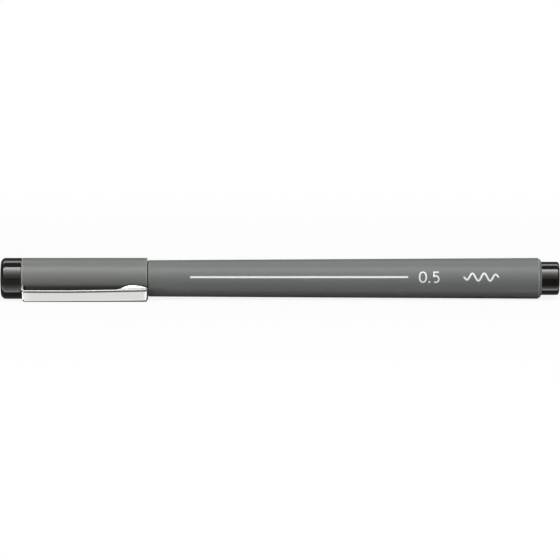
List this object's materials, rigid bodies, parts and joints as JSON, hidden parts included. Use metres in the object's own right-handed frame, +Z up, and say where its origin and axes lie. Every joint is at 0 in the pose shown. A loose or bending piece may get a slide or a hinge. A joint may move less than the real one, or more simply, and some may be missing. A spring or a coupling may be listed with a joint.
{
  "type": "fineliner pen",
  "caption": "Capped fineliner pen lying on its side: grey tapered barrel, black end plugs, steel pocket clip; the cap pulls off the grip section and nib.",
  "frame": {"origin": "on the desk, under the middle of the pen's length and of its width with the clip", "axes": "+X along the pen's axis from the cap to the rear plug, +Z up from the desk, the clip towards -Y"},
  "size_m": [0.142, 0.013, 0.0104],
  "materials": {
    "grey_plastic": "satin",
    "black_plastic": "gloss",
    "section_plastic": "satin",
    "natural_plastic": "satin",
    "clip_steel": "bright",
    "nib_steel": "satin",
    "nib_plastic": "matt",
    "fibre": "matt",
    "film": "gloss"
  },
  "bodies": {
    "pen": {"barrel": "grey_plastic", "grip_section": "section_plastic", "nib_sleeve": "nib_steel", "nib": "nib_plastic", "feed_wick": "fibre", "ink_reservoir": "fibre", "reservoir_film": "film", "rear_plug": "black_plastic"},
    "cap": {"cap_sleeve": "grey_plastic", "cap_end_plug": "black_plastic", "inner_cap": "natural_plastic"},
    "clip": {"pocket_clip": "clip_steel"}
  },
  "joints": [
    {"name": "cap_pull", "type": "slide", "parent": "pen", "child": "cap", "axis": [-1, 0, 0], "range_m": [0, 0.04]},
    {"name": "clip_flex", "type": "hinge", "parent": "cap", "child": "clip", "pos_m": [-0.06532, -0.00324, 0.00274], "axis": [0, 0.4722, -0.8815], "range_deg": [0, 4], "stiffness_Nm_per_rad": 2.5}
  ]
}
